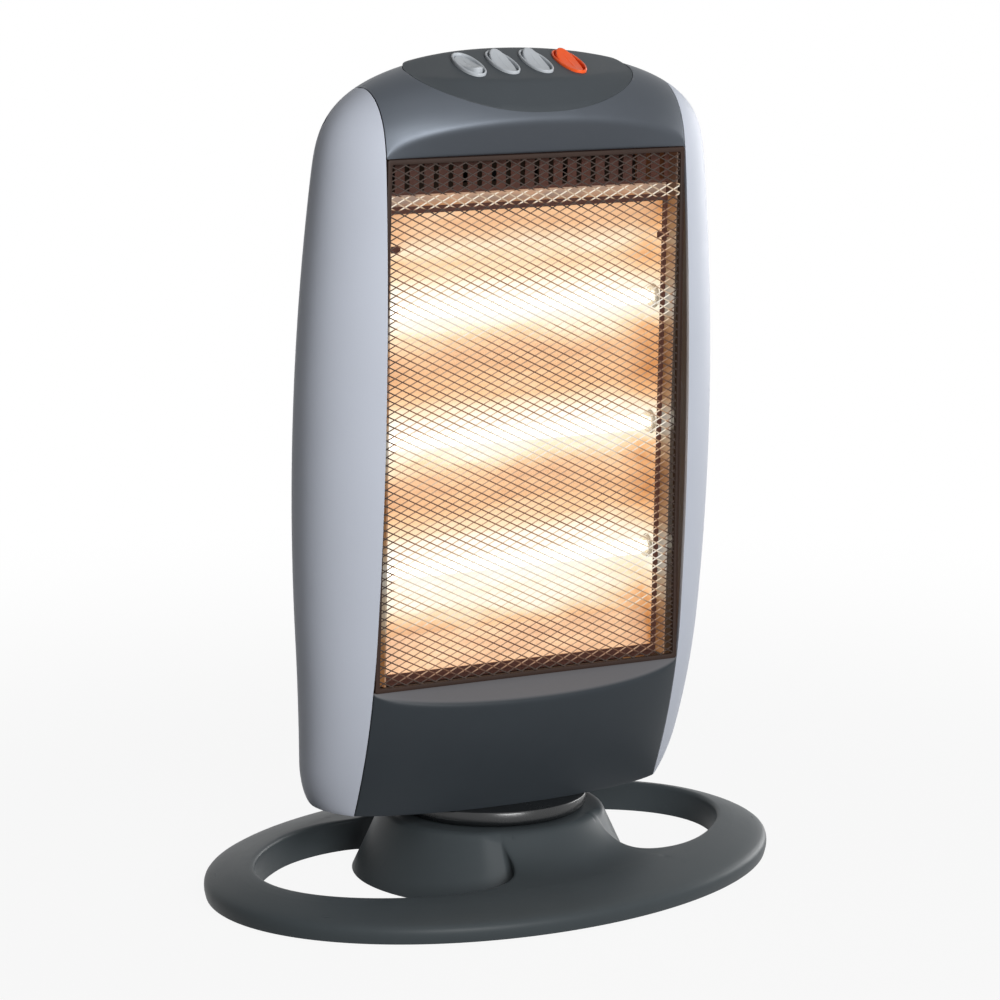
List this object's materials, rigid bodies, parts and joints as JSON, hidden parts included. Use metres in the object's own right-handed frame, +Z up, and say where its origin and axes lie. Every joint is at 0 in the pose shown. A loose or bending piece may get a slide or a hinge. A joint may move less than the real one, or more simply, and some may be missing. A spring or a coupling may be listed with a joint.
{
  "type": "halogen heater",
  "caption": "Upright oscillating halogen heater: curved head with a mesh grille, glowing tubes and rocker keys, on an open oval base.",
  "frame": {"origin": "on the floor under the pivot, the middle of the oval base", "axes": "+Z up, -Y to the front of the base, +X to the right seen from behind the grille"},
  "size_m": [0.398, 0.289, 0.5219],
  "materials": {
    "base_plastic": "moulded, fine matt",
    "dark_plastic": "moulded, satin",
    "silver_plastic": "satin metallic",
    "brow_plastic": "satin metallic",
    "panel_plastic": "fine matt",
    "gloss_black": "polished",
    "key_grey": "satin",
    "key_orange": "satin",
    "grille_steel": "dark brown satin enamel",
    "bright_aluminium": "bright rolled sheet",
    "zinc_steel": "zinc plated",
    "screw_steel": "zinc plated",
    "motor_can": "plated can",
    "ceramic": "glazed ceramic",
    "quartz": "clear",
    "tungsten": "glowing wire coil",
    "nylon": "natural",
    "switch_black": "moulded",
    "plunger_red": "moulded",
    "black_rubber": "matt"
  },
  "bodies": {
    "base": {"base_moulding": "base_plastic", "base_bottom_cover": "dark_plastic", "base_feet": "black_rubber", "cover_screws": "screw_steel", "pivot_tube": "zinc_steel", "pivot_washer": "nylon", "pivot_lock_ring": "zinc_steel", "oscillation_motor": "motor_can", "motor_screws": "screw_steel", "tip_switch": "switch_black", "tip_spring": "zinc_steel"},
    "head": {"turntable": "gloss_black", "pivot_bush": "nylon", "head_floor": "dark_plastic", "floor_screws": "screw_steel", "lower_panel": "dark_plastic", "brow_panel": "brow_plastic", "side_panel_left": "silver_plastic", "side_panel_right": "silver_plastic", "side_panel_screws": "screw_steel", "rear_cover": "dark_plastic", "rear_cover_screws": "screw_steel", "carry_grip": "dark_plastic", "cord_gland": "black_rubber", "control_panel": "panel_plastic", "rocker_switch_1": "key_grey", "rocker_switch_2": "key_grey", "rocker_switch_3": "key_grey", "oscillation_switch": "key_orange", "grille_mesh": "grille_steel", "grille_border": "grille_steel", "element_frame": "grille_steel", "reflector": "bright_aluminium", "reflector_end_left": "bright_aluminium", "reflector_end_right": "bright_aluminium", "heat_shield": "zinc_steel", "chassis_left": "zinc_steel", "chassis_right": "zinc_steel", "lamp_holder_left": "ceramic", "lamp_holder_right": "ceramic", "halogen_tube_top": "quartz", "halogen_tube_middle": "quartz", "halogen_tube_bottom": "quartz", "filament_top": "tungsten", "filament_middle": "tungsten", "filament_bottom": "tungsten", "tube_caps": "ceramic", "thermal_cutout": "screw_steel", "terminal_block": "ceramic", "wiring_loom": "black_rubber"},
    "crank": {"motor_shaft": "zinc_steel", "crank_disc": "nylon"},
    "plunger": {"tip_plunger": "plunger_red"},
    "key_1": {"rocker_key_1": "key_grey"},
    "key_2": {"rocker_key_2": "key_grey"},
    "key_3": {"rocker_key_3": "key_grey"},
    "key_oscillation": {"oscillation_key": "key_orange"}
  },
  "joints": [
    {"name": "head_swivel", "type": "hinge", "parent": "base", "child": "head", "pos_m": [0, 0, 0.05], "axis": [0, 0, 1], "range_deg": [-18.7, 41.3]},
    {"name": "crank_turn", "type": "hinge", "parent": "base", "child": "crank", "pos_m": [0, 0.03, 0.045], "axis": [0, 0, 1], "range_deg": [-56.1, 123.9]},
    {"name": "tip_plunger_slide", "type": "slide", "parent": "base", "child": "plunger", "axis": [0, 0, -1], "range_m": [0, 0.005], "stiffness_N_per_m": 60, "springref_m": 0.02, "deforming": ["tip_spring"]},
    {"name": "key_1_rock", "type": "hinge", "parent": "head", "child": "key_1", "pos_m": [-0.04017, -0.02498, 0.50908], "axis": [0.9806, -0.1959, 0], "range_deg": [0, 16]},
    {"name": "key_2_rock", "type": "hinge", "parent": "head", "child": "key_2", "pos_m": [-0.01762, -0.02949, 0.50983], "axis": [0.9806, -0.1959, 0], "range_deg": [-16, 0]},
    {"name": "key_3_rock", "type": "hinge", "parent": "head", "child": "key_3", "pos_m": [0.00493, -0.03399, 0.50983], "axis": [0.9806, -0.1959, 0], "range_deg": [-16, 0]},
    {"name": "oscillation_key_rock", "type": "hinge", "parent": "head", "child": "key_oscillation", "pos_m": [0.02749, -0.0385, 0.50908], "axis": [0.9806, -0.1959, 0], "range_deg": [-16, 0]}
  ],
  "couplings": [
    {"joint": "crank_turn", "follows": "head_swivel", "ratio": 3}
  ]
}
